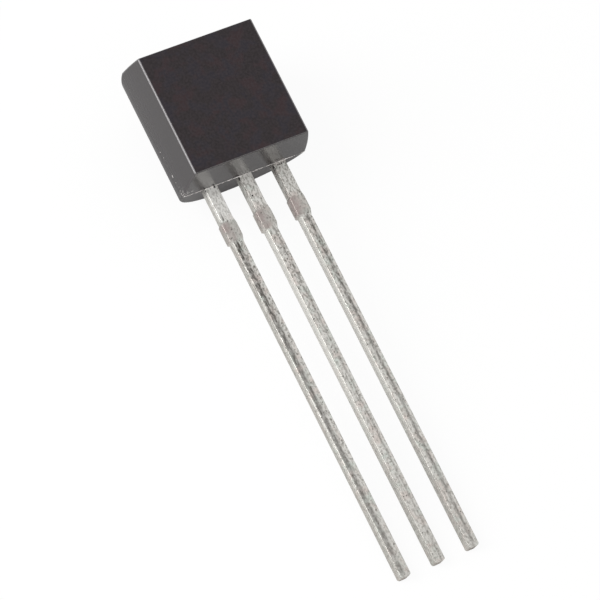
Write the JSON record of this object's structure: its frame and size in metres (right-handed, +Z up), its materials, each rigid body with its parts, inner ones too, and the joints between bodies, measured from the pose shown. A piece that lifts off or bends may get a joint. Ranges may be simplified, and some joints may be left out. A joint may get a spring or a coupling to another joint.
{
  "type": "shunt regulator",
  "caption": "Small black moulded body, flat in front and round behind, lying on its back with straight tinned leads leaving one end.",
  "frame": {"origin": "middle of the part's outline on the ground, seen from above, with the part lying on its round back", "axes": "+Y along the ground from the lead tips towards the body's closed end; +Z up, out of the body's flat; +X across the leads, from the reference lead to the cathode lead"},
  "size_m": [0.0046, 0.0186, 0.0041],
  "materials": {
    "moulded_epoxy": "matte",
    "tinned_copper": "satin",
    "silicon": "gloss",
    "die_adhesive": "satin",
    "gold_wire": "gloss"
  },
  "bodies": {
    "root": {"moulded_body": "moulded_epoxy", "reference_lead": "tinned_copper", "anode_lead": "tinned_copper", "cathode_lead": "tinned_copper", "regulator_chip": "silicon", "die_attach": "die_adhesive", "reference_wire": "gold_wire", "anode_wire": "gold_wire", "cathode_wire": "gold_wire"}
  },
  "joints": []
}
